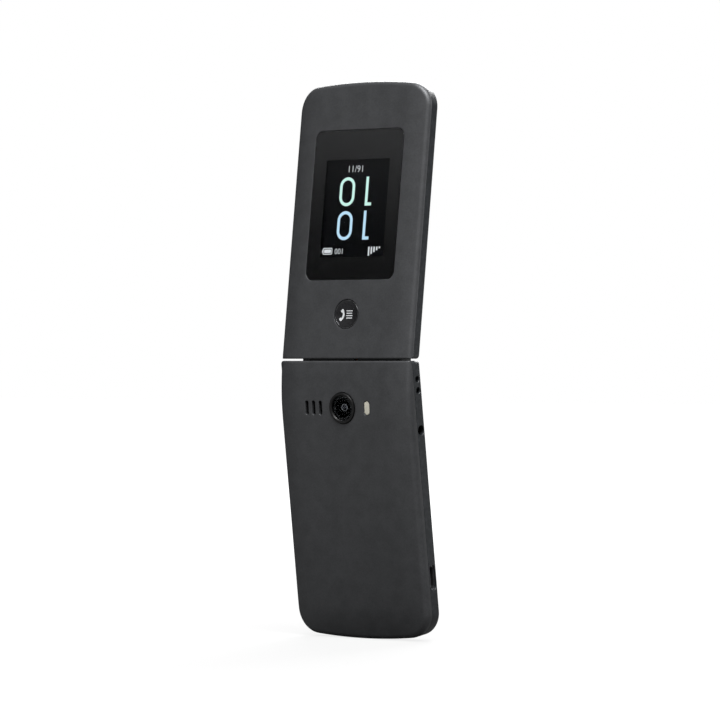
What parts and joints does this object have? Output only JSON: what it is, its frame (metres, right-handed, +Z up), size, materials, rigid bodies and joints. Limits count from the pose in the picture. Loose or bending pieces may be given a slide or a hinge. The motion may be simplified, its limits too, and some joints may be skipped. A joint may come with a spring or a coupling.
{
  "type": "flip phone",
  "caption": "Folding mobile phone with a hinged lid, outer display, round outer key, rear camera and a keypad, open and standing upright.",
  "frame": {"origin": "bottom centre of the box of the open, upright phone", "axes": "+Z up along the open phone, +Y out of the outer display and the camera, the hinge along X"},
  "size_m": [0.0578, 0.0212, 0.1981],
  "materials": {
    "cover_grey": "fine matt soft-touch",
    "frame_dark": "satin",
    "inner_plastic": "moulded",
    "circuit_board": "solder mask",
    "steel": "stamped",
    "contact_gold": "gold plated",
    "ring_black": "satin anodised",
    "window_black": "polished",
    "display_panel": "dark screen",
    "flash_cream": "clear lens over a cream reflector",
    "mesh_black": "fine woven mesh",
    "silicone": "matt",
    "flex_amber": "polyimide film",
    "outer_key_gloss": "turned gloss",
    "nav_metal": "satin metallic",
    "key_black": "semi-gloss"
  },
  "bodies": {
    "base": {"base_front_housing": "frame_dark", "mid_frame": "inner_plastic", "main_board": "circuit_board", "shield_cans": "steel", "battery": "inner_plastic", "battery_contacts": "contact_gold", "camera_module": "inner_plastic", "camera_ring": "ring_black", "camera_glass": "window_black", "flash_lens": "flash_cream", "loudspeaker": "steel", "speaker_mesh": "mesh_black", "headphone_jack": "inner_plastic", "usb_port": "steel", "microphone": "steel", "vibration_motor": "steel", "sim_holder": "steel", "keypad_membrane": "silicone", "dome_sheet": "steel", "base_screws": "steel", "hinge_flex": "flex_amber", "hinge_shaft": "steel"},
    "battery_cover": {"battery_cover": "cover_grey"},
    "lid": {"lid_inner_frame": "frame_dark", "lid_outer_cover": "cover_grey", "outer_window": "window_black", "outer_display": "display_panel", "outer_key_dome": "steel", "lid_board": "circuit_board", "lid_plate": "steel", "main_window": "window_black", "main_display": "display_panel", "earpiece": "steel", "earpiece_mesh": "mesh_black", "lid_screws": "steel", "lid_bumpers": "silicone", "lid_magnet": "steel", "lid_flex": "flex_amber", "hinge_module": "steel", "hinge_spring": "steel"},
    "outer_key": {"outer_key": "outer_key_gloss"},
    "nav_ring": {"nav_ring": "nav_metal"},
    "ok_key": {"ok_key": "key_black"},
    "soft_left_key": {"soft_left_key": "key_black"},
    "soft_right_key": {"soft_right_key": "key_black"},
    "call_key": {"call_key": "key_black"},
    "end_key": {"end_key": "key_black"},
    "key_1": {"key_1": "key_black"},
    "key_2": {"key_2": "key_black"},
    "key_3": {"key_3": "key_black"},
    "key_4": {"key_4": "key_black"},
    "key_5": {"key_5": "key_black"},
    "key_6": {"key_6": "key_black"},
    "key_7": {"key_7": "key_black"},
    "key_8": {"key_8": "key_black"},
    "key_9": {"key_9": "key_black"},
    "key_star": {"key_star": "key_black"},
    "key_0": {"key_0": "key_black"},
    "key_hash": {"key_hash": "key_black"}
  },
  "joints": [
    {"name": "flip_hinge", "type": "hinge", "parent": "base", "child": "lid", "pos_m": [0, 0.00263, 0.09913], "axis": [1, 0, 0], "range_deg": [0, 165]},
    {"name": "battery_cover_lift", "type": "slide", "parent": "base", "child": "battery_cover", "axis": [0, 0.9907, -0.1357], "range_m": [0, 0.015]},
    {"name": "outer_key_press", "type": "slide", "parent": "lid", "child": "outer_key", "axis": [0, -0.9921, -0.1253], "range_m": [0, 0.00025], "stiffness_N_per_m": 800},
    {"name": "nav_ring_press", "type": "slide", "parent": "base", "child": "nav_ring", "axis": [0, 0.9907, -0.1357], "range_m": [0, 0.00025], "stiffness_N_per_m": 800},
    {"name": "ok_key_press", "type": "slide", "parent": "base", "child": "ok_key", "axis": [0, 0.9907, -0.1357], "range_m": [0, 0.00025], "stiffness_N_per_m": 800},
    {"name": "soft_left_key_press", "type": "slide", "parent": "base", "child": "soft_left_key", "axis": [0, 0.9907, -0.1357], "range_m": [0, 0.00025], "stiffness_N_per_m": 800},
    {"name": "soft_right_key_press", "type": "slide", "parent": "base", "child": "soft_right_key", "axis": [0, 0.9907, -0.1357], "range_m": [0, 0.00025], "stiffness_N_per_m": 800},
    {"name": "call_key_press", "type": "slide", "parent": "base", "child": "call_key", "axis": [0, 0.9907, -0.1357], "range_m": [0, 0.00025], "stiffness_N_per_m": 800},
    {"name": "end_key_press", "type": "slide", "parent": "base", "child": "end_key", "axis": [0, 0.9907, -0.1357], "range_m": [0, 0.00025], "stiffness_N_per_m": 800},
    {"name": "key_1_press", "type": "slide", "parent": "base", "child": "key_1", "axis": [0, 0.9907, -0.1357], "range_m": [0, 0.00025], "stiffness_N_per_m": 800},
    {"name": "key_2_press", "type": "slide", "parent": "base", "child": "key_2", "axis": [0, 0.9907, -0.1357], "range_m": [0, 0.00025], "stiffness_N_per_m": 800},
    {"name": "key_3_press", "type": "slide", "parent": "base", "child": "key_3", "axis": [0, 0.9907, -0.1357], "range_m": [0, 0.00025], "stiffness_N_per_m": 800},
    {"name": "key_4_press", "type": "slide", "parent": "base", "child": "key_4", "axis": [0, 0.9907, -0.1357], "range_m": [0, 0.00025], "stiffness_N_per_m": 800},
    {"name": "key_5_press", "type": "slide", "parent": "base", "child": "key_5", "axis": [0, 0.9907, -0.1357], "range_m": [0, 0.00025], "stiffness_N_per_m": 800},
    {"name": "key_6_press", "type": "slide", "parent": "base", "child": "key_6", "axis": [0, 0.9907, -0.1357], "range_m": [0, 0.00025], "stiffness_N_per_m": 800},
    {"name": "key_7_press", "type": "slide", "parent": "base", "child": "key_7", "axis": [0, 0.9907, -0.1357], "range_m": [0, 0.00025], "stiffness_N_per_m": 800},
    {"name": "key_8_press", "type": "slide", "parent": "base", "child": "key_8", "axis": [0, 0.9907, -0.1357], "range_m": [0, 0.00025], "stiffness_N_per_m": 800},
    {"name": "key_9_press", "type": "slide", "parent": "base", "child": "key_9", "axis": [0, 0.9907, -0.1357], "range_m": [0, 0.00025], "stiffness_N_per_m": 800},
    {"name": "key_star_press", "type": "slide", "parent": "base", "child": "key_star", "axis": [0, 0.9907, -0.1357], "range_m": [0, 0.00025], "stiffness_N_per_m": 800},
    {"name": "key_0_press", "type": "slide", "parent": "base", "child": "key_0", "axis": [0, 0.9907, -0.1357], "range_m": [0, 0.00025], "stiffness_N_per_m": 800},
    {"name": "key_hash_press", "type": "slide", "parent": "base", "child": "key_hash", "axis": [0, 0.9907, -0.1357], "range_m": [0, 0.00025], "stiffness_N_per_m": 800}
  ]
}
